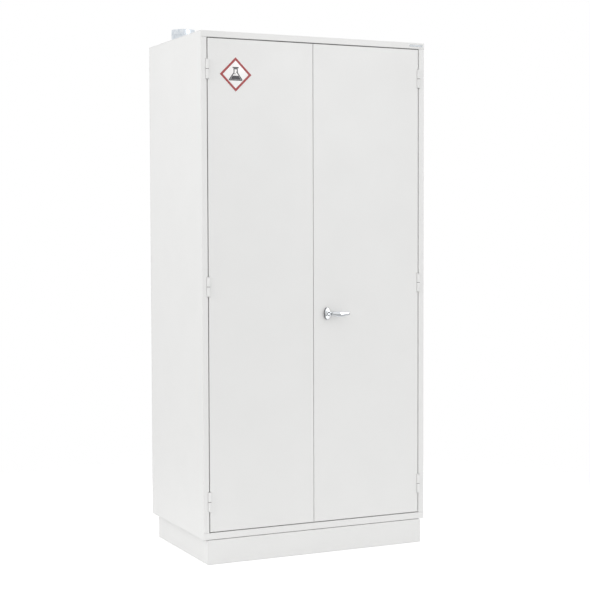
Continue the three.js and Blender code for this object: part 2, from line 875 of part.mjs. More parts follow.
function shelfSet() {
  const pieces = [];
  for (let shelf = 1; shelf <= shelfCount; shelf += 1) {
    const level = firstSlot + shelf * slotsPerShelf * slotPitch;
    const tray = openTray(trayHalfWidth, [trayFront, trayBack], trayRise);
    pieces.push(piece(`shelf_tray_${shelf}`, tray, 'greyPowderCoat', [0, 0, level + clearance]));
    Object.entries(hands).forEach(([side, hand]) => {
      const name = `${side}_shelf_ledge_${shelf}`;
      pieces.push(piece(name, shelfLedge(hand), 'zincPlatedSteel', [0, 0, level]));
    });
  }
  return pieces;
}

function uprightSet() {
  return Object.entries(hands).flatMap(([side, hand]) => (
    Object.entries(uprightPlaces).map(([end, front]) => (
      piece(`${side}_${end}_upright`, shelfUpright(hand, front), 'greyPowderCoat')
    ))
  ));
}

function bodySet() {
  const sumpFloor = floorTop + clearance;
  const sump = openTray(trayHalfWidth, [trayFront, trayBack], sumpRise);
  return [
    piece('left_side_panel', sidePanel(-1), 'whitePowderCoat'),
    piece('right_side_panel', sidePanel(1), 'whitePowderCoat'),
    piece('back_panel', backPanel(), 'whitePowderCoat'),
    piece('roof_panel', roofPanel(), 'whitePowderCoat'),
    piece('floor_panel', deckPanel(plinthHeight, openingBottom), 'whitePowderCoat'),
    piece('plinth_front_rail', plinthCrossRail(0, 1), 'whitePowderCoat'),
    piece('plinth_back_rail', plinthCrossRail(plinthBack, -1), 'whitePowderCoat'),
    piece('plinth_left_rail', plinthSideRail(-1), 'whitePowderCoat'),
    piece('plinth_right_rail', plinthSideRail(1), 'whitePowderCoat'),
    piece('vent_spigot', ventSpigot(), 'galvanisedSteel'),
    piece('bottom_sump', sump, 'galvanisedSteel', [0, 0, sumpFloor]),
    piece('blank_name_strip', nameStrip(), 'brushedAluminium'),
  ];
}

function leftDoorSet() {
  const labelPlace = [-rimInner + labelFromStile, -clearance, height - labelFromTop];
  const boltX = meetingOffset - boltFromMeeting;
  const upperTip = [boltX, 0, openingTop - rodTipGap];
  const lowerTip = [boltX, 0, openingBottom + rodTipGap];
  return [
    piece('left_door_skin', doorSkin('left'), 'whitePowderCoat'),
    piece('left_door_liner', doorLiner('left'), 'whitePowderCoat'),
    piece('door_label', doorLabel(), 'printedLabel', labelPlace),
    piece('left_upper_bolt', slideBolt(1), 'zincPlatedSteel', upperTip),
    piece('left_lower_bolt', slideBolt(-1), 'zincPlatedSteel', lowerTip),
  ];
}

function rightDoorSet() {
  const lock = new THREE.Group();
  lock.position.set(lockX, 0, lockHeight);
  lock.add(
    piece('handle_rose', handleRose(), 'chromePlate'),
    piece('lever_handle', leverHandle(), 'chromePlate'),
    piece('key_cylinder', keyCore(), 'chromePlate'),
    piece('drive_pinion', drivePinion(), 'zincPlatedSteel'),
    piece('lock_case', lockCase(), 'zincPlatedSteel'),
    piece('upper_rod', lockRod(1, openingTop - rodTipGap - lockHeight), 'zincPlatedSteel'),
    piece('lower_rod', lockRod(-1, openingBottom + rodTipGap - lockHeight), 'zincPlatedSteel'),
  );
  return [
    piece('right_door_skin', doorSkin('right', spindleHole()), 'whitePowderCoat'),
    piece('right_door_liner', doorLiner('right', spindleHole()), 'whitePowderCoat'),
    lock,
  ];
}

const cabinet = new THREE.Group();
cabinet.position.y = -(depth - leverReach) / 2;
cabinet.add(
  ...bodySet(),
  ...uprightSet(),
  ...shelfSet(),
  ...hingeSet('left'),
  ...hingeSet('right'),
  ...leftDoorSet(),
  ...rightDoorSet(),
);

export default cabinet;
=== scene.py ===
# Two-door safety cabinet: powder-coated sheet steel, chromed lever lock, galvanised duct spigot.
# Pieces are drawn in millimetres about their own centre and then taken to their place in metres.
import json
from math import cos, pi, radians, sin, tau

import bmesh
import bpy
from mathutils import Matrix, Vector


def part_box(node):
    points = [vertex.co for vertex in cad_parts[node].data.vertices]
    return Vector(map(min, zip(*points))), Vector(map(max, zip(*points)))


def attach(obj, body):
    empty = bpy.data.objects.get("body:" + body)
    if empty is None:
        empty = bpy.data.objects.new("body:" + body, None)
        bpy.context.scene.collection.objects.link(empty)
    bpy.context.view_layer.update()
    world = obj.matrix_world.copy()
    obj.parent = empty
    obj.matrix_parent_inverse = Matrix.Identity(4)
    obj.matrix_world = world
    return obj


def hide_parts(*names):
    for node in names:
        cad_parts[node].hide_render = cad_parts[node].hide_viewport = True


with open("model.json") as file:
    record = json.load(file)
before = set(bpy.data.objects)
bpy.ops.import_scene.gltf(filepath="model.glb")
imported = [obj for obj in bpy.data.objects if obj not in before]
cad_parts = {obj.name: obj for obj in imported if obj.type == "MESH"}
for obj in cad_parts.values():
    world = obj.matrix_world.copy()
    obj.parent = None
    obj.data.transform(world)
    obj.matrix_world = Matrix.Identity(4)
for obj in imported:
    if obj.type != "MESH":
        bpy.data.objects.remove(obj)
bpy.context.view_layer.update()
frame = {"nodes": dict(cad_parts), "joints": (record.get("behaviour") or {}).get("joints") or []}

MM = 0.001
TO_FRONT = Matrix.Rotation(radians(90), 4, "X")
TO_BACK = Matrix.Rotation(radians(-90), 4, "X")
UPWARDS = Matrix()
SIDES = {"left": -1, "right": 1}
LEVELS = ("lower", "middle", "upper")
SHARP = radians(50)


# ---- Node tools ----

def linear(hex_colour):
    """An sRGB colour such as f2f2f0 as linear RGBA."""
    values = [int(hex_colour[start:start + 2], 16) / 255 for start in (0, 2, 4)]
    return (*[v / 12.92 if v <= 0.04045 else ((v + 0.055) / 1.055) ** 2.4 for v in values], 1)


def socket(sockets, name):
    """The socket in use that has this name, identifier or number."""
    if isinstance(name, int):
        return sockets[name]
    return next(s for s in sockets if s.enabled and name in (s.identifier, s.name))


def add_node(tree, kind, values=None, links=None, **settings):
    """Adds a node, with its settings, its sockets' values and the sockets that feed it."""
    node = tree.nodes.new(kind)
    for name, value in settings.items():
        setattr(node, name, value)
    for name, value in (values or {}).items():
        socket(node.inputs, name).default_value = value
    for name, (source, output) in (links or {}).items():
        tree.links.new(socket(source.outputs, output), socket(node.inputs, name))
    return node


def new_finish(name, **values):
    """A material with one Principled shader. Spaces in socket names are written as underscores."""
    material = bpy.data.materials.new(name)
    material.use_nodes = True
    tree = material.node_tree
    shader = tree.nodes["Principled BSDF"]
    for key, value in values.items():
        shader.inputs[key.replace("_", " ")].default_value = value
    place = add_node(tree, "ShaderNodeTexCoord")
    return material, tree, shader, place


def feed(tree, shader, **links):
    """Links sockets of other nodes to the shader's own."""
    for name, (source, output) in links.items():
        target = shader.inputs[name.replace("_", " ")]
        tree.links.new(socket(source.outputs, output), target)


# ---- Finishes ----

def powder_coat(name, light, dark, roughness):
    """Polyester powder baked on sheet steel: an even satin film with a fine orange peel. The peel
    is about 2 mm from crest to crest and is drawn at 6 mm so that it shows. The sheet under it
    rolls very slightly over each half metre, which makes the sheen wander."""
    material, tree, shader, place = new_finish(name, Base_Color=linear(light), IOR=1.5)
    peel = add_node(tree, "ShaderNodeTexNoise", {"Scale": 1 / (6 * MM), "Detail": 2.0},
                    {"Vector": (place, "Object")})
    sheet = add_node(tree, "ShaderNodeTexNoise", {"Scale": 1 / (450 * MM), "Detail": 1.0},
                     {"Vector": (place, "Object")})
    cloud = add_node(tree, "ShaderNodeTexNoise", {"Scale": 1 / (160 * MM), "Detail": 4.0},
                     {"Vector": (place, "Object")})
    tone = add_node(tree, "ShaderNodeMix", {"A_Color": linear(light), "B_Color": linear(dark)},
                    {"Factor_Float": (cloud, "Fac")}, data_type="RGBA")
    gloss = add_node(tree, "ShaderNodeMapRange",
                     {"To Min": roughness - 0.05, "To Max": roughness + 0.05},
                     {"Value": (cloud, "Fac")})
    rolled = add_node(tree, "ShaderNodeBump", {"Strength": 0.5, "Distance": 1.2 * MM},
                      {"Height": (sheet, "Fac")})
    coated = add_node(tree, "ShaderNodeBump", {"Strength": 0.12, "Distance": 0.25 * MM},
                      {"Height": (peel, "Fac"), "Normal": (rolled, "Normal")})
    feed(tree, shader, Base_Color=(tone, "Result_Color"), Roughness=(gloss, "Result"),
         Normal=(coated, "Normal"))
    return material


def galvanised_steel():
    """Hot-dip galvanised sheet: zinc crystals about 10 mm across, each with its own tone and
    gloss, so the spangle shows as soft patches."""
    material, tree, shader, place = new_finish("hot dip galvanised steel", Metallic=1.0)
    spangle = add_node(tree, "ShaderNodeTexVoronoi", {"Scale": 1 / (10 * MM)},
                       {"Vector": (place, "Object")})
    parts = add_node(tree, "ShaderNodeSeparateColor", None, {"Color": (spangle, "Color")})
    tone = add_node(tree, "ShaderNodeMix",
                    {"A_Color": linear("d6dde4"), "B_Color": linear("e9edf1")},
                    {"Factor_Float": (parts, "Red")}, data_type="RGBA")
    gloss = add_node(tree, "ShaderNodeMapRange", {"To Min": 0.3, "To Max": 0.48},
                     {"Value": (parts, "Green")})
    feed(tree, shader, Base_Color=(tone, "Result_Color"), Roughness=(gloss, "Result"))
    return material


def drawn_metal(name, light, dark, roughness, line, stretch):
    """Metal with fine lines along one axis, left by drawing or brushing. line is the spacing of
    the lines in millimetres and stretch tells how much longer than wide they are on each axis."""
    material, tree, shader, place = new_finish(name, Metallic=1.0)
    along = add_node(tree, "ShaderNodeMapping", {"Scale": [1 / s for s in stretch]},
                     {"Vector": (place, "Object")})
    lines = add_node(tree, "ShaderNodeTexNoise", {"Scale": 1 / (line * MM), "Detail": 3.0},
                     {"Vector": (along, "Vector")})
    tone = add_node(tree, "ShaderNodeMix", {"A_Color": linear(dark), "B_Color": linear(light)},
                    {"Factor_Float": (lines, "Fac")}, data_type="RGBA")
    gloss = add_node(tree, "ShaderNodeMapRange",
                     {"To Min": roughness - 0.08, "To Max": roughness + 0.08},
                     {"Value": (lines, "Fac")})
    grain = add_node(tree, "ShaderNodeBump", {"Strength": 0.15, "Distance": 0.05 * MM},
                     {"Height": (lines, "Fac")})
    feed(tree, shader, Base_Color=(tone, "Result_Color"), Roughness=(gloss, "Result"),
         Normal=(grain, "Normal"))
    return material


def chrome_plate():
    """Polished zinc casting under bright chrome: close to a mirror, with faint handling marks
    some 12 mm across that dull it in places."""
    material, tree, shader, place = new_finish("bright chrome plate", Metallic=1.0,
                                               Base_Color=linear("dcdfe2"))
    marks = add_node(tree, "ShaderNodeTexNoise", {"Scale": 1 / (12 * MM), "Detail": 5.0},
                     {"Vector": (place, "Object")})
    gloss = add_node(tree, "ShaderNodeMapRange", {"To Min": 0.06, "To Max": 0.2},
                     {"Value": (marks, "Fac")})
    feed(tree, shader, Roughness=(gloss, "Result"))
    return material


def printed_film(name, light, dark, roughness):
    """Vinyl film or screen ink: smooth and half glossy, with a faint mottle about 3 mm across
    where the film follows the coat under it."""
    material, tree, shader, place = new_finish(name, IOR=1.52)
    mottle = add_node(tree, "ShaderNodeTexNoise", {"Scale": 1 / (3 * MM), "Detail": 3.0},
                      {"Vector": (place, "Object")})
    tone = add_node(tree, "ShaderNodeMix", {"A_Color": linear(light), "B_Color": linear(dark)},
                    {"Factor_Float": (mottle, "Fac")}, data_type="RGBA")
    gloss = add_node(tree, "ShaderNodeMapRange",
                     {"To Min": roughness - 0.04, "To Max": roughness + 0.04},
                     {"Value": (mottle, "Fac")})
    feed(tree, shader, Base_Color=(tone, "Result_Color"), Roughness=(gloss, "Result"))
    return material


def moulded_nylon():
    """Black glass-filled nylon: matt, with a fine moulded grain drawn at 1 mm so that it shows."""
    material, tree, shader, place = new_finish("moulded nylon", IOR=1.53, Roughness=0.6,
                                               Base_Color=linear("323235"))
    grain = add_node(tree, "ShaderNodeTexNoise", {"Scale": 1 / MM, "Detail": 2.0},
                     {"Vector": (place, "Object")})
    skin = add_node(tree, "ShaderNodeBump", {"Strength": 0.3, "Distance": 0.1 * MM},
                    {"Height": (grain, "Fac")})
    feed(tree, shader, Normal=(skin, "Normal"))
    return material


FINISHES = {
    "white_powder_coat": powder_coat("white powder coat", "e9e9e8", "e5e5e4", 0.42),
    "grey_powder_coat": powder_coat("light grey powder coat", "cdd0d1", "c4c8c9", 0.46),
    "galvanised_steel": galvanised_steel(),
    "zinc_plate": drawn_metal("bright zinc plate", "cdd1d3", "b4b9bd", 0.32, 3, (1, 1, 12)),
    "brushed_aluminium": drawn_metal("brushed aluminium", "b0b3b6", "9da1a4", 0.5, 1, (20, 1, 1)),
    "chrome_plate": chrome_plate(),
    "printed_label": printed_film("white vinyl film", "fbfafa", "f6f5f4", 0.3),
}
RED_INK = printed_film("red screen ink", "a01219", "940f16", 0.36)
DARK_INK = printed_film("dark screen ink", "2c2c34", "25252c", 0.4)
BLACK_NYLON = moulded_nylon()


# ---- Modelling tools ----

def soften(bm, edges, width, segments):
    """Rounds edges over."""
    bmesh.ops.bevel(bm, geom=list(edges), offset=width, affect="EDGES", segments=segments,
                    profile=0.5, material=-1)


def close_up(bm):
    """Merges what meets and turns every face outwards."""
    bmesh.ops.remove_doubles(bm, verts=bm.verts, dist=1e-4)
    bmesh.ops.dissolve_degenerate(bm, edges=bm.edges, dist=1e-5)
    bmesh.ops.recalc_face_normals(bm, faces=bm.faces)
    return bm


def arc(centre, radius, start, end, steps=5):
    """Points on an arc of a turned outline, between two angles in degrees."""
    turns = [radians(start + (end - start) * step / steps) for step in range(steps + 1)]
    return [(centre[0] + radius * cos(turn), centre[1] + radius * sin(turn)) for turn in turns]


def turned(outline, steps=48, closed=False):
    """Spins an outline of radius and height about the z axis."""
    bm = bmesh.new()
    points = [bm.verts.new((radius, 0, rise)) for radius, rise in outline]
    pairs = list(zip(points, points[1:]))
    if closed:
        pairs.append((points[-1], points[0]))
    edges = [bm.edges.new(pair) for pair in pairs]
    bmesh.ops.spin(bm, geom=points + edges, cent=(0, 0, 0), axis=(0, 0, 1), angle=tau,
                   steps=steps, use_merge=True)
    return close_up(bm)


def plate(width, thickness, height, corner=0.0, edge=0.3):
    """A flat plate that faces front, with rounded corners and eased edges."""
    bm = bmesh.new()
    bmesh.ops.create_cube(bm, size=1)
    bmesh.ops.scale(bm, vec=(width, thickness, height), verts=bm.verts)
    if corner:
        through = [e for e in bm.edges if abs(e.verts[0].co.y - e.verts[1].co.y) > thickness / 2]
        soften(bm, through, corner, 5)
    sharp = [e for e in bm.edges if e.calc_face_angle() > SHARP]
    soften(bm, sharp, edge, 2)
    return close_up(bm)


def repeated(small, places):
    """A small shape copied to several places in one mesh."""
    pattern = bpy.data.meshes.new("pattern")
    small.to_mesh(pattern)
    small.free()
    bm = bmesh.new()
    for place in places:
        already = len(bm.verts)
        bm.from_mesh(pattern)
        bm.verts.ensure_lookup_table()
        bmesh.ops.transform(bm, matrix=place, verts=bm.verts[already:])
    bpy.data.meshes.remove(pattern)
    return bm


def set_down(name, bm, at, body, slot=None, finish=None, turn=UPWARDS, stands_for=(), crease=32):
    """Takes a shape drawn in millimetres to its place in metres, and fixes it to a body. Its
    finish is that of its slot, unless it has one of its own."""
    bm.transform(Matrix.Translation(at) @ turn @ Matrix.Scale(MM, 4))
    mesh = bpy.data.meshes.new(name)
    bm.to_mesh(mesh)
    bm.free()
    mesh.materials.append(finish or FINISHES[slot])
    mesh.shade_smooth()
    mesh.set_sharp_from_angle(angle=radians(crease))
    piece = bpy.data.objects.new(name, mesh)
    bpy.context.scene.collection.objects.link(piece)
    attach(piece, body)
    if stands_for:
        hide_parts(*stands_for)
    return piece


def middle_of(node):
    """The centre of a CAD node's box."""
    low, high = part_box(node)
    return (low + high) / 2


# ---- Duct spigot ----
# Heights are above the roof.
SPIGOT_RADIUS = 49.4
SPIGOT_WALL = 1.5
SPIGOT_FLANGE = 62
SPIGOT_EDGE = 0.4
SPIGOT_FOOT = 0.3
SPIGOT_ROOT = 3
SPIGOT_TOP = 67
SPIGOT_LIP = 1.2
BEAD_HEIGHT = 46
BEAD_RADIUS = 2
RIVETS_ROUND_SPIGOT = 8
RIVET_CIRCLE = 56.5


def spigot_wall():
    """Spun collar: a flange with a rolled root, a straight wall with a raised bead that grips the
    duct, and a turned-in lip."""
    inner = SPIGOT_RADIUS - SPIGOT_WALL
    flange_top = SPIGOT_FOOT + SPIGOT_WALL
    outside = [
        (SPIGOT_FLANGE, SPIGOT_FOOT),
        (SPIGOT_FLANGE, flange_top - SPIGOT_EDGE),
        (SPIGOT_FLANGE - SPIGOT_EDGE, flange_top),
        *arc((SPIGOT_RADIUS + SPIGOT_ROOT, flange_top + SPIGOT_ROOT), SPIGOT_ROOT, 270, 180),
        *arc((SPIGOT_RADIUS - BEAD_RADIUS / 2, BEAD_HEIGHT), BEAD_RADIUS, -60, 60, 6),
        *arc((SPIGOT_RADIUS - SPIGOT_LIP, SPIGOT_TOP - SPIGOT_LIP), SPIGOT_LIP, 0, 180, 8),
    ]
    inside = [
        (SPIGOT_RADIUS - 2 * SPIGOT_LIP, SPIGOT_TOP - 5 * SPIGOT_LIP),
        (inner, SPIGOT_TOP - 6 * SPIGOT_LIP),
        *arc((inner - BEAD_RADIUS / 2, BEAD_HEIGHT), BEAD_RADIUS, 50, -50, 6),
        (inner, SPIGOT_FOOT),
    ]
    return turned(outside + inside, 72, closed=True)


def rivet_head(radius=2.4, rise=1.3):
    """Domed head of a blind rivet with the dimple that its mandrel leaves."""
    return turned([(0, rise * 0.55), (radius * 0.3, rise * 0.6), (radius * 0.4, rise),
                   (radius * 0.75, rise * 0.75), (radius, rise * 0.25), (radius, 0), (0, 0)], 12)


spigot_centre = middle_of("vent_spigot")
roof_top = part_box("roof_panel")[1].z
spigot_foot = Vector((spigot_centre.x, spigot_centre.y, roof_top))
set_down("vent_spigot_spun", spigot_wall(), spigot_foot, "cabinet", slot="galvanised_steel",
         stands_for=["vent_spigot"])
rivet_circle = [
    Matrix.Rotation(tau * step / RIVETS_ROUND_SPIGOT, 4, "Z")
    @ Matrix.Translation((RIVET_CIRCLE, 0, SPIGOT_FOOT + SPIGOT_WALL))
    for step in range(RIVETS_ROUND_SPIGOT)
]
set_down("vent_spigot_rivets", repeated(rivet_head(), rivet_circle), spigot_foot, "cabinet",
         slot="zinc_plate")


# ---- Lift-off hinges ----
# Heights run from the joint, where the two halves of a barrel meet.
BARREL_RADIUS = 7
BARREL_BORE = 4.3
BARREL_LIFT = 0.6
BARREL_MOUTH = 0.6
BARREL_DOME = 2
BARREL_CAP = 3
WASHER_PLAY = 0.05
LEAF_THICKNESS = 2
LEAF_FRONT = 7.4
LEAF_SHORTER = 1
hinge_axes = {j["child"].removesuffix("_door"): j["pos_m"][:2]
              for j in frame["joints"] if j["name"].endswith("_door_swing")}


def hinge_barrel(length):
    """Half of a turned barrel, open at the bottom, with a domed cap and an eased mouth."""
    return turned([
        (BARREL_BORE, BARREL_LIFT),
        (BARREL_RADIUS - BARREL_MOUTH, BARREL_LIFT),
        (BARREL_RADIUS, BARREL_LIFT + BARREL_MOUTH),
        *arc((BARREL_RADIUS - BARREL_DOME, length - BARREL_DOME), BARREL_DOME, 0, 90),
        (0, length),
        (0, length - BARREL_CAP),
        (BARREL_BORE, length - BARREL_CAP),
    ], 32, closed=True)


def hinge_knuckle(side, part, level, up):
    """Barrel and leaf that stand for one CAD knuckle."""
    node = f"{side}_{part}_knuckle_{level}"
    body = "cabinet" if part == "frame" else f"{side}_door"
    low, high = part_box(node)
    axis_x, axis_y = hinge_axes[side]
    length = (high.z - low.z) / MM
    joint_end = low.z if up > 0 else high.z
    turn = UPWARDS if up > 0 else Matrix.Rotation(pi, 4, "X")
    set_down(node.replace("knuckle", "barrel"), hinge_barrel(length),
             Vector((axis_x, axis_y, joint_end)), body, slot="white_powder_coat", turn=turn,
             stands_for=[node])
    leaf_side = SIDES[side] * (1 if part == "frame" else -1)
    leaf_edge = high.x if leaf_side > 0 else low.x
    leaf_depth = (high.y - axis_y) / MM - LEAF_FRONT
    leaf_at = Vector((leaf_edge - leaf_side * LEAF_THICKNESS / 2 * MM,
                      high.y - leaf_depth / 2 * MM, (low.z + high.z) / 2))
    leaf = plate(LEAF_THICKNESS, leaf_depth, length - LEAF_SHORTER)
    set_down(node.replace("knuckle", "leaf"), leaf, leaf_at, body, slot="white_powder_coat")


def hinge_washer():
    """Bearing ring that fills most of the gap between the two halves of a barrel."""
    rim = BARREL_RADIUS - BARREL_MOUTH
    half = BARREL_LIFT - WASHER_PLAY
    return turned([(BARREL_BORE, -half), (rim, -half), (rim, half), (BARREL_BORE, half)], 24,
                  closed=True)


washer_places = []
for side in SIDES:
    for level in LEVELS:
        hinge_knuckle(side, "frame", level, -1)
        hinge_knuckle(side, "door", level, 1)
        joint = (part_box(f"{side}_frame_knuckle_{level}")[1].z
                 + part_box(f"{side}_door_knuckle_{level}")[0].z) / 2
        washer_places.append(Matrix.Translation(Vector((*hinge_axes[side], joint)) / MM))
set_down("hinge_washers", repeated(hinge_washer(), washer_places), Vector(), "cabinet",
         finish=BLACK_NYLON)


# ---- Label on the left door ----
LABEL_SIDE = 98
FILM = 0.5
INK = 0.15
BORDER_INSET = 1.3
BORDER_WIDTH = 9
FLASK = [(-27, -24), (27, -24), (29, -20), (9, 8), (9, 24), (-9, 24), (-9, 8), (-29, -20)]
FLASK_STROKE = 4
FLASK_LIP = [(-13, 24.5), (13, 24.5), (13, 29), (-13, 29)]
FLASK_LIQUID = [(-22.5, -19.5), (22.5, -19.5), (12.5, -5), (-12.5, -5)]
BUBBLES = [((-3, 2), 2.4), ((4, 9), 1.8)]


def inked(bm, outline, stroke=None):
    """A printed shape with its own thickness, filled or as a line along its outline."""
    corners = [bm.verts.new((x, 0, z)) for x, z in outline]
    face = bm.faces.new(corners)
    face.normal_update()
    shown = [face]
    if stroke:
        shown = bmesh.ops.inset_region(bm, faces=[face], thickness=stroke, use_boundary=True,
                                       use_even_offset=True)["faces"]
        bmesh.ops.delete(bm, geom=[face], context="FACES_ONLY")
    grown = bmesh.ops.extrude_face_region(bm, geom=shown)["geom"]
    raised = [v for v in grown if isinstance(v, bmesh.types.BMVert)]
    bmesh.ops.translate(bm, vec=(0, -INK, 0), verts=raised)


def label_border():
    """The red frame, a little inside the edge of the film."""
    half = LABEL_SIDE / 2 - BORDER_INSET
    bm = bmesh.new()
    inked(bm, [(-half, -half), (half, -half), (half, half), (-half, half)], BORDER_WIDTH)
    return close_up(bm)


def label_flask():
    """A plain laboratory flask: outline, lip, liquid in its foot and two bubbles over it."""
    bm = bmesh.new()
    inked(bm, FLASK, FLASK_STROKE)
    inked(bm, FLASK_LIP)
    inked(bm, FLASK_LIQUID)
    for centre, radius in BUBBLES:
        inked(bm, arc(centre, radius, 0, 324, 9))
    return close_up(bm)


label_centre = middle_of("door_label")
label_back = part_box("door_label")[1].y
film_middle = Vector((label_centre.x, label_back - FILM / 2 * MM, label_centre.z))
print_plane = Vector((label_centre.x, label_back - FILM * MM, label_centre.z))
on_corner = Matrix.Rotation(radians(45), 4, "Y")
set_down("door_label_film", plate(LABEL_SIDE, FILM, LABEL_SIDE, corner=2, edge=0.1), film_middle,
         "left_door", slot="printed_label", turn=on_corner, stands_for=["door_label"])
set_down("door_label_border", label_border(), print_plane, "left_door", finish=RED_INK,
         turn=on_corner)
set_down("door_label_flask", label_flask(), print_plane, "left_door", finish=DARK_INK)


# ---- Blank strip on the roof lip ----
STRIP_CORNER = 1.5
STRIP_EDGE = 0.12
STRIP_RIM = 0.8
STRIP_RECESS = 0.15


def framed_strip(width, thickness, height):
    """A plate whose face is pressed back inside a narrow rim."""
    bm = plate(width, thickness, height, STRIP_CORNER, STRIP_EDGE)
    face = max(bm.faces, key=lambda f: f.calc_area() * -f.normal.y)
    for inwards, back in ((STRIP_RIM, 0), (STRIP_RECESS, -STRIP_RECESS)):
        bmesh.ops.inset_region(bm, faces=[face], thickness=inwards, depth=back,
                               use_boundary=True, use_even_offset=True)
    return bm


strip_low, strip_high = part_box("blank_name_strip")
strip_size = (strip_high - strip_low) / MM
set_down("blank_strip", framed_strip(*strip_size), middle_of("blank_name_strip"), "cabinet",
         slot="brushed_aluminium", stands_for=["blank_name_strip"])


# ---- Lever lock ----
# Depths run forwards from the lever's joint.
ROSE_HALF_WIDTH = 12.5
ROSE_HALF_HEIGHT = 24.5
ROSE_BACK = 7.6
ROSE_RISE = 11
ROSE_EDGE = 3
GASKET_INSET = 0.4
GASKET_BACK = 0.3
GASKET_RISE = 7.5
GASKET_EDGE = 0.5
SPINDLE_HOLE = 6.5
HUB_RADIUS = 11.5
HUB_BACK = 11.3
HUB_FRONT = 21.5
HUB_EDGE = 2
CORE_BORE = 7.6
CORE_FLOOR = 16
CORE_BACK = 16.8
CORE_FACE = 22.7
BEZEL_RADIUS = 6.8
BEZEL_MOUTH = 5
BEZEL_EDGE = 0.8
PLUG_RADIUS = 4.4
PLUG_PLAY = 0.1
PLUG_SUNK = 0.3
PLUG_EDGE = 0.4
KEY_SLOT = (1.2, 3.4)
KEY_SLOT_DEPTH = 4
LEVER_VOXEL = 0.5

# The lever's cross-sections: place along x, depth, heading in degrees towards the front, top,
# bottom and half thickness.
LEVER_SECTIONS = [
    (9.4, 14, 52, 6.8, -6.8, 2.6),
    (13.5, 20, 52, 8.6, -8.8, 4.2),
    (18, 28, 50, 9.2, -9.8, 5),
    (24.5, 35.2, 38, 9.6, -11.4, 5.4),
    (32.5, 40.4, 22, 9.7, -12.9, 5.6),
    (42, 42.6, 7, 9.6, -12.3, 5.4),
    (52, 43, 0, 9.5, -11, 5),
    (62, 43, 0, 9.3, -9.5, 4.9),
    (72, 43, 0, 9, -8, 4.8),
    (79, 43, 0, 8.1, -6.4, 4.4),
    (82.6, 43, 0, 6, -4.2, 3.2),
    (84, 43, 0, 3, -1.6, 1.4),
]


def oval_ring(half_width, half_height, back, front, edge):
    """Upright oval plate with the spindle's hole in it and a rolled front edge."""
    bm = bmesh.new()
    oval = Matrix.Diagonal((half_width, half_height, 1, 1))
    bmesh.ops.create_circle(bm, segments=72, radius=1, matrix=oval)
    bmesh.ops.create_circle(bm, segments=72, radius=SPINDLE_HOLE)
    bmesh.ops.bridge_loops(bm, edges=bm.edges[:])
    bmesh.ops.translate(bm, vec=(0, 0, back), verts=bm.verts)
    grown = bmesh.ops.extrude_face_region(bm, geom=bm.faces[:])["geom"]
    raised = [v for v in grown if isinstance(v, bmesh.types.BMVert)]
    bmesh.ops.translate(bm, vec=(0, 0, front - back), verts=raised)
    close_up(bm)
    bore = SPINDLE_HOLE + 1
    rim = [e for e in bm.edges if e.calc_face_angle() > SHARP
           and all(v.co.z > front - 0.1 and v.co.xy.length > bore for v in e.verts)]
    soften(bm, rim, edge, 5)
    return bm


def lever_hub():
    """Turned hub with a soft front edge and the pocket that holds the key cylinder."""
    return turned([
        (0, HUB_BACK),
        (HUB_RADIUS, HUB_BACK),
        *arc((HUB_RADIUS - HUB_EDGE, HUB_FRONT - HUB_EDGE), HUB_EDGE, 0, 90),
        (CORE_BORE, HUB_FRONT),
        (CORE_BORE, CORE_FLOOR),
        (0, CORE_FLOOR),
    ], 64)


def lever_arm():
    """Oval cross-sections bridged into one swept, tapering arm."""
    bm = bmesh.new()
    loops = []
    for x, front, heading, top, bottom, half_thick in LEVER_SECTIONS:
        place = (Matrix.Translation((x, -front, (top + bottom) / 2))
                 @ Matrix.Rotation(radians(-heading), 4, "Z")
                 @ Matrix.Rotation(radians(90), 4, "Y")
                 @ Matrix.Diagonal(((top - bottom) / 2, half_thick, 1, 1)))
        ring = bmesh.ops.create_circle(bm, segments=28, radius=1, matrix=place)["verts"]
        loops.append(list({edge for vert in ring for edge in vert.link_edges}))
    for near, far in zip(loops, loops[1:]):
        bmesh.ops.bridge_loops(bm, edges=near + far)
    bmesh.ops.holes_fill(bm, edges=loops[0] + loops[-1])
    return close_up(bm)


def cast_lever():
    """Hub and arm run together as one casting, with the metal drawn smooth where they meet."""
    bm = lever_hub()
    bm.transform(TO_FRONT)
    arm = lever_arm()
    swept = bpy.data.meshes.new("arm")
    arm.to_mesh(swept)
    arm.free()
    bm.from_mesh(swept)
    bpy.data.meshes.remove(swept)
    return bm


def key_bezel():
    """Moulded cap round the key plug, hollow in the middle."""
    return turned([
        (PLUG_RADIUS + PLUG_PLAY, CORE_FACE - PLUG_EDGE),
        (BEZEL_MOUTH, CORE_FACE),
        *arc((BEZEL_RADIUS - BEZEL_EDGE, CORE_FACE - BEZEL_EDGE), BEZEL_EDGE, 90, 0),
        (BEZEL_RADIUS, CORE_BACK),
        (PLUG_RADIUS + PLUG_PLAY, CORE_BACK),
    ], 48, closed=True)


def key_plug():
    """Turned plug with a key slot sunk in its face."""
    face = CORE_FACE - PLUG_SUNK
    bm = turned([(PLUG_RADIUS - PLUG_EDGE, face), (PLUG_RADIUS, face - PLUG_EDGE),
                 (PLUG_RADIUS, CORE_BACK), (0, CORE_BACK)], 48)
    rim = [e for e in bm.edges if e.is_boundary]
    slit = Matrix.Translation((0, 0, face)) @ Matrix.Diagonal((*KEY_SLOT, 1, 1))
    around = bmesh.ops.create_circle(bm, segments=24, radius=1, matrix=slit)["verts"]
    mouth = list({edge for vert in around for edge in vert.link_edges})
    bmesh.ops.bridge_loops(bm, edges=rim + mouth)
    sunk = bmesh.ops.extrude_edge_only(bm, edges=mouth)["geom"]
    bottom = [v for v in sunk if isinstance(v, bmesh.types.BMVert)]
    bmesh.ops.translate(bm, vec=(0, 0, -KEY_SLOT_DEPTH), verts=bottom)
    bmesh.ops.holes_fill(bm, edges=[e for e in bm.edges if e.is_boundary])
    return close_up(bm)


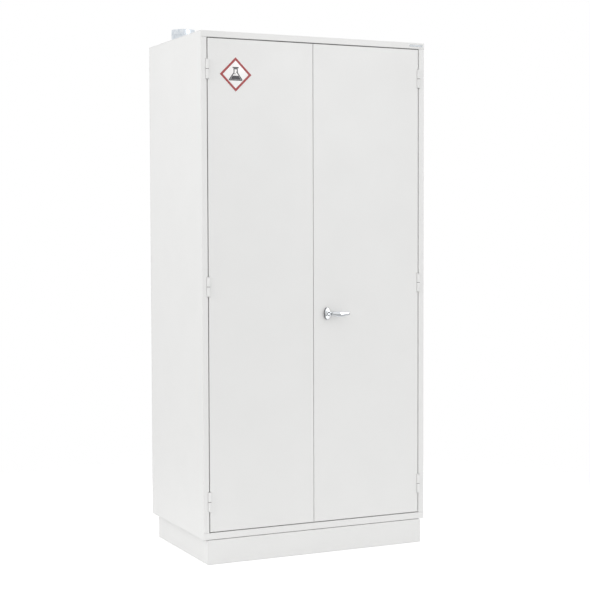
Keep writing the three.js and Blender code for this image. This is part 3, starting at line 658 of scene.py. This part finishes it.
lever_joint = next(j for j in frame["joints"] if j["name"] == "lever_turn")
spindle = Vector(lever_joint["pos_m"])
gasket = oval_ring(ROSE_HALF_WIDTH - GASKET_INSET, ROSE_HALF_HEIGHT - GASKET_INSET,
                   GASKET_BACK, GASKET_RISE, GASKET_EDGE)
set_down("handle_gasket", gasket, spindle, "right_door", finish=BLACK_NYLON, turn=TO_FRONT)
rose = oval_ring(ROSE_HALF_WIDTH, ROSE_HALF_HEIGHT, ROSE_BACK, ROSE_RISE, ROSE_EDGE)
set_down("handle_rose_cover", rose, spindle, "right_door", slot="chrome_plate", turn=TO_FRONT,
         stands_for=["handle_rose"])
lever = set_down("lever_cast", cast_lever(), spindle, "lever", slot="chrome_plate",
                 stands_for=["lever_handle"], crease=60)
fused = lever.modifiers.new("fused", "REMESH")
fused.mode = "VOXEL"
fused.voxel_size = LEVER_VOXEL * MM
fused.use_smooth_shade = True
polished = lever.modifiers.new("polished", "SMOOTH")
polished.factor = 0.5
polished.iterations = 6
set_down("key_bezel", key_bezel(), spindle, "key_core", finish=BLACK_NYLON, turn=TO_FRONT)
set_down("key_plug", key_plug(), spindle, "key_core", slot="chrome_plate", turn=TO_FRONT,
         stands_for=["key_cylinder"])


# ---- Flush rivets round the back sheet ----
RIVET_FROM_EDGE = 12
RIVET_ROWS = 10
RIVET_COLUMNS = 5
RIVET_SEAT = 0.6


def flush_rivet():
    """Countersunk rivet head, level with the sheet, with the dimple that its mandrel leaves."""
    return turned([(0, 0.05), (1, 0.1), (1.3, 0.5), (3.3, 0.55), (3.7, 0.4), (3.7, 0.02),
                   (0, 0.02)], 16)


def back_rivet_places():
    """Rivet centres round the edge of the back sheet, from its lower left corner."""
    low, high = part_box("back_panel")
    across = (high.x - low.x) / MM - 2 * RIVET_FROM_EDGE
    up = (high.z - low.z) / MM - 2 * RIVET_FROM_EDGE
    uprights = [(x, up * row / RIVET_ROWS) for row in range(RIVET_ROWS + 1)
                for x in (0, across)]
    rails = [(across * column / RIVET_COLUMNS, z) for column in range(1, RIVET_COLUMNS)
             for z in (0, up)]
    return [Matrix.Translation((x + RIVET_FROM_EDGE, 0, z + RIVET_FROM_EDGE)) @ TO_BACK
            for x, z in uprights + rails]


back_low, back_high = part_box("back_panel")
set_down("back_rivets", repeated(flush_rivet(), back_rivet_places()),
         Vector((back_low.x, back_high.y - RIVET_SEAT * MM, back_low.z)), "cabinet",
         slot="zinc_plate")


# ---- Lock gear behind the doors ----
# Depths run backwards from the liner. A rod's straps stand at shares of the way from the spindle
# to its tip, and a bolt's straps at distances back from its tip.
STRAP_SHEET = 1.5
STRAP_FOOT = 10
STRAP_LENGTH = 14
STRAP_GAP = 0.6
STRAP_LIFT = 0.1
STRAP_BEND = 1.6
STRAP_RIVET = 5.6
BAR_BACK = 10.3
BAR_WIDTHS = {"upper_rod": 9, "lower_rod": 9, "left_upper_bolt": 14, "left_lower_bolt": 14}
TOWARDS_TIP = {"upper_rod": 1, "lower_rod": -1, "left_upper_bolt": 1, "left_lower_bolt": -1}
ROD_STRAPS = {"upper_rod": (0.14, 0.55, 0.94), "lower_rod": (0.14, 0.55, 0.92)}
BOLT_STRAPS = (45, 95)
CASE_SCREW_INSET = 8 * MM


def guide_strap(bar_width):
    """A strap folded over a flat bar: two feet on the liner and a bridge between them."""
    half = bar_width / 2 + STRAP_GAP
    rise = BAR_BACK + STRAP_GAP
    foot = half + STRAP_SHEET + STRAP_FOOT
    bm = bmesh.new()
    path = [(-foot, STRAP_LIFT), (-half, STRAP_LIFT), (-half, rise), (half, rise),
            (half, STRAP_LIFT), (foot, STRAP_LIFT)]
    points = [bm.verts.new((x, y, -STRAP_LENGTH / 2)) for x, y in path]
    for pair in zip(points, points[1:]):
        bm.edges.new(pair)
    bmesh.ops.bevel(bm, geom=points[1:-1], offset=STRAP_BEND, affect="VERTICES", segments=3,
                    profile=0.5, material=-1)
    sheet = bmesh.ops.extrude_edge_only(bm, edges=bm.edges)["geom"]
    far = [v for v in sheet if isinstance(v, bmesh.types.BMVert)]
    bmesh.ops.translate(bm, vec=(0, 0, STRAP_LENGTH), verts=far)
    bmesh.ops.recalc_face_normals(bm, faces=bm.faces)
    outer = max(bm.faces, key=lambda f: f.calc_center_median().y)
    if outer.normal.y > 0:
        bmesh.ops.reverse_faces(bm, faces=bm.faces)
    bmesh.ops.solidify(bm, geom=bm.faces, thickness=STRAP_SHEET)
    return close_up(bm)


def guide(node, body, centre_x, heights):
    """Straps along one bar, each with a rivet in both feet."""
    liner_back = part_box(f"{body}_liner")[1].y
    straps = repeated(guide_strap(BAR_WIDTHS[node]),
                      [Matrix.Translation((0, 0, z / MM)) for z in heights])
    at = Vector((centre_x, liner_back, 0))
    set_down(f"{node}_straps", straps, at, body, slot="zinc_plate")
    reach = BAR_WIDTHS[node] / 2 + STRAP_GAP + STRAP_SHEET + STRAP_RIVET
    heads = [Matrix.Translation((hand * reach, STRAP_LIFT + STRAP_SHEET, z / MM)) @ TO_BACK
             for z in heights for hand in (-1, 1)]
    set_down(f"{node}_rivets", repeated(rivet_head(2, 1.1), heads), at, body,
             slot="zinc_plate")


for node, way in TOWARDS_TIP.items():
    low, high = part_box(node)
    tip = high.z if way > 0 else low.z
    if node in ROD_STRAPS:
        plain_side = low.x if way > 0 else high.x
        guide(node, "right_door", plain_side + way * BAR_WIDTHS[node] / 2 * MM,
              [spindle.z + (tip - spindle.z) * share for share in ROD_STRAPS[node]])
    else:
        guide(node, "left_door", middle_of(node).x, [tip - way * back * MM for back in BOLT_STRAPS])

case_low, case_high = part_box("lock_case")
case_screws = [Matrix.Translation((Vector((x, case_high.y, z)) - spindle) / MM) @ TO_BACK
               for x in (case_low.x + CASE_SCREW_INSET, case_high.x - CASE_SCREW_INSET)
               for z in (case_low.z + CASE_SCREW_INSET, case_high.z - CASE_SCREW_INSET)]
set_down("lock_case_screws", repeated(rivet_head(3.2, 2), case_screws), spindle, "right_door",
         slot="zinc_plate")


# ---- Folded edges of the trays ----
HEM_HEIGHT = 7
HEM_SHEET = 1.2
HEM_OVERLAP = 0.2
HEM_EDGE = 0.4


def tray_hem(width, depth):
    """Edge of a tray folded down outside its wall."""
    bm = bmesh.new()
    rim = bmesh.ops.create_grid(bm, x_segments=1, y_segments=1, size=0.5)["verts"]
    bmesh.ops.scale(bm, vec=(width + HEM_OVERLAP, depth + HEM_OVERLAP, 1), verts=rim)
    bmesh.ops.delete(bm, geom=bm.faces[:], context="FACES_ONLY")
    wall = bmesh.ops.extrude_edge_only(bm, edges=bm.edges)["geom"]
    lowered = [v for v in wall if isinstance(v, bmesh.types.BMVert)]
    bmesh.ops.translate(bm, vec=(0, 0, -HEM_HEIGHT), verts=lowered)
    bmesh.ops.recalc_face_normals(bm, faces=bm.faces)
    bmesh.ops.solidify(bm, geom=bm.faces, thickness=-HEM_SHEET)
    close_up(bm)
    top = [e for e in bm.edges if e.verts[0].co.z > -0.1 and e.verts[1].co.z > -0.1
           and e.calc_face_angle() > SHARP]
    soften(bm, top, HEM_EDGE, 2)
    return bm


trays = {"bottom_sump": "galvanised_steel", **{f"shelf_tray_{n}": "grey_powder_coat"
                                               for n in range(1, 5)}}
for node, slot_name in trays.items():
    low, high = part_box(node)
    size = (high - low) / MM
    rim_centre = Vector(((low.x + high.x) / 2, (low.y + high.y) / 2, high.z))
    set_down(f"{node}_hem", tray_hem(size.x, size.y), rim_centre, "cabinet", slot=slot_name)


# ---- Finishes of the CAD sheet and bar ----
SLOT_OF = {
    "galvanised_steel": ["bottom_sump"],
    "grey_powder_coat": ["shelf_tray", "upright"],
    "zinc_plate": ["ledge", "bolt", "rod", "pinion", "lock_case", "pin_"],
}
for name, node in frame["nodes"].items():
    if node.hide_render:
        continue
    fitting = [slot for slot, marks in SLOT_OF.items() if any(mark in name for mark in marks)]
    slot_name = fitting[0] if fitting else "white_powder_coat"
    for holder in node.material_slots:
        holder.material = FINISHES[slot_name]


# ---- Studio ----
# The sky's light climbs from one level to the other between two sines of elevation, and what is
# mirrored in the metal has levels of its own. The three lamps are in watts.
FLOOR_RADIUS = 9
FLOOR_LIFT = 0.3
FLOOR_FADE = (0.8, 2.4)
DOME_RISE = (-0.3, 0.9)
DOME_LIGHT = (0.68, 1.02)
MIRRORED_RISE = (-0.15, 0.2)
MIRRORED_LIGHT = (0.5, 1.05)
KEY_LIGHT = 58
FILL_LIGHT = 31
STRIP_LIGHT = 30
CAMERA_PLACE = (-2.522, -5.436, 1.331)
CAMERA_TURN = (-25.153, 87.29, -0.17)
LENS = 86.35


def studio_floor():
    """Pale floor that thins out to nothing away from the cabinet, so that it has no horizon."""
    bm = bmesh.new()
    bmesh.ops.create_circle(bm, cap_ends=True, segments=96, radius=FLOOR_RADIUS)
    mesh = bpy.data.meshes.new("studio_floor")
    bm.to_mesh(mesh)
    bm.free()
    floor = bpy.data.objects.new("studio_floor", mesh)
    bpy.context.scene.collection.objects.link(floor)
    material = bpy.data.materials.new("pale studio floor")
    material.use_nodes = True
    tree = material.node_tree
    tree.nodes.remove(tree.nodes["Principled BSDF"])
    place = add_node(tree, "ShaderNodeTexCoord")
    distance = add_node(tree, "ShaderNodeVectorMath", None, {"Vector": (place, "Object")},
                        operation="LENGTH")
    fade = add_node(tree, "ShaderNodeMapRange",
                    {"From Min": FLOOR_FADE[0], "From Max": FLOOR_FADE[1]},
                    {"Value": (distance, "Value")}, interpolation_type="SMOOTHSTEP")
    paint = add_node(tree, "ShaderNodeBsdfDiffuse", {"Color": linear("f0f0f0")})
    seen = add_node(tree, "ShaderNodeLightPath")
    lift = add_node(tree, "ShaderNodeMath", {0: FLOOR_LIFT}, {1: (seen, "Is Camera Ray")},
                    operation="MULTIPLY")
    glow = add_node(tree, "ShaderNodeEmission", None, {"Strength": (lift, "Value")})
    pale = add_node(tree, "ShaderNodeAddShader")
    tree.links.new(paint.outputs[0], pale.inputs[0])
    tree.links.new(glow.outputs[0], pale.inputs[1])
    clear = add_node(tree, "ShaderNodeBsdfTransparent")
    mixed = add_node(tree, "ShaderNodeMixShader", None, {"Fac": (fade, "Result")})
    tree.links.new(pale.outputs[0], mixed.inputs[1])
    tree.links.new(clear.outputs[0], mixed.inputs[2])
    tree.links.new(mixed.outputs[0], tree.nodes["Material Output"].inputs["Surface"])
    mesh.materials.append(material)


def studio_air():
    """White behind the object, and a soft dome of light that is brightest overhead."""
    world = bpy.data.worlds.new("studio")
    bpy.context.scene.world = world
    world.use_nodes = True
    tree = world.node_tree
    place = add_node(tree, "ShaderNodeTexCoord")
    split = add_node(tree, "ShaderNodeSeparateXYZ", None, {"Vector": (place, "Generated")})
    dome = add_node(tree, "ShaderNodeMapRange",
                    {"From Min": DOME_RISE[0], "From Max": DOME_RISE[1],
                     "To Min": DOME_LIGHT[0], "To Max": DOME_LIGHT[1]},
                    {"Value": (split, "Z")})
    mirrored = add_node(tree, "ShaderNodeMapRange",
                        {"From Min": MIRRORED_RISE[0], "From Max": MIRRORED_RISE[1],
                         "To Min": MIRRORED_LIGHT[0], "To Max": MIRRORED_LIGHT[1]},
                        {"Value": (split, "Z")})
    seen = add_node(tree, "ShaderNodeLightPath")
    level = add_node(tree, "ShaderNodeMix", None,
                     {"A_Float": (dome, "Result"), "B_Float": (mirrored, "Result"),
                      "Factor_Float": (seen, "Is Glossy Ray")})
    light = tree.nodes["Background"]
    tree.links.new(socket(level.outputs, "Result_Float"), light.inputs["Strength"])
    light.inputs["Color"].default_value = linear("ffffff")
    plain = add_node(tree, "ShaderNodeBackground", {"Color": linear("ffffff"), "Strength": 1.0})
    choice = add_node(tree, "ShaderNodeMixShader", None, {"Fac": (seen, "Is Camera Ray")})
    tree.links.new(light.outputs[0], choice.inputs[1])
    tree.links.new(plain.outputs[0], choice.inputs[2])
    tree.links.new(choice.outputs[0], tree.nodes["World Output"].inputs["Surface"])


def softbox(name, at, towards, size, power, glossy=True, diffuse=True):
    """A rectangular light aimed at a point. It may be kept out of reflections or give only them."""
    data = bpy.data.lights.new(name, "AREA")
    data.shape = "RECTANGLE"
    data.size, data.size_y = size
    data.energy = power
    lamp = bpy.data.objects.new(name, data)
    lamp.location = at
    lamp.rotation_mode = "QUATERNION"
    lamp.rotation_quaternion = (Vector(towards) - Vector(at)).to_track_quat("-Z", "Y")
    lamp.visible_glossy = glossy
    lamp.visible_diffuse = diffuse
    bpy.context.scene.collection.objects.link(lamp)


def studio_camera():
    """A long lens at chest height, well to the left of the cabinet's middle."""
    data = bpy.data.cameras.new("studio_camera")
    data.lens = LENS
    data.sensor_width = 36
    camera = bpy.data.objects.new("studio_camera", data)
    swing, tilt, roll = [radians(angle) for angle in CAMERA_TURN]
    camera.matrix_world = (Matrix.Translation(CAMERA_PLACE) @ Matrix.Rotation(swing, 4, "Z")
                           @ Matrix.Rotation(tilt, 4, "X") @ Matrix.Rotation(roll, 4, "Z"))
    bpy.context.scene.collection.objects.link(camera)
    bpy.context.scene.camera = camera


studio_floor()
studio_air()
softbox("key", at=(-4.6, -0.9, 2.9), towards=(-0.4, 0, 1.2), size=(2.4, 2.4),
        power=KEY_LIGHT, glossy=False)
softbox("front_fill", at=(2.6, -4.8, 1.4), towards=(0, 0, 1), size=(2.2, 2.8),
        power=FILL_LIGHT)
softbox("strip", at=(1.45, -3.35, 2.9), towards=spigot_foot, size=(0.35, 2.2),
        power=STRIP_LIGHT, diffuse=False)
studio_camera()
bpy.context.scene.view_settings.view_transform = "Standard"
bpy.context.scene.view_settings.look = "None"
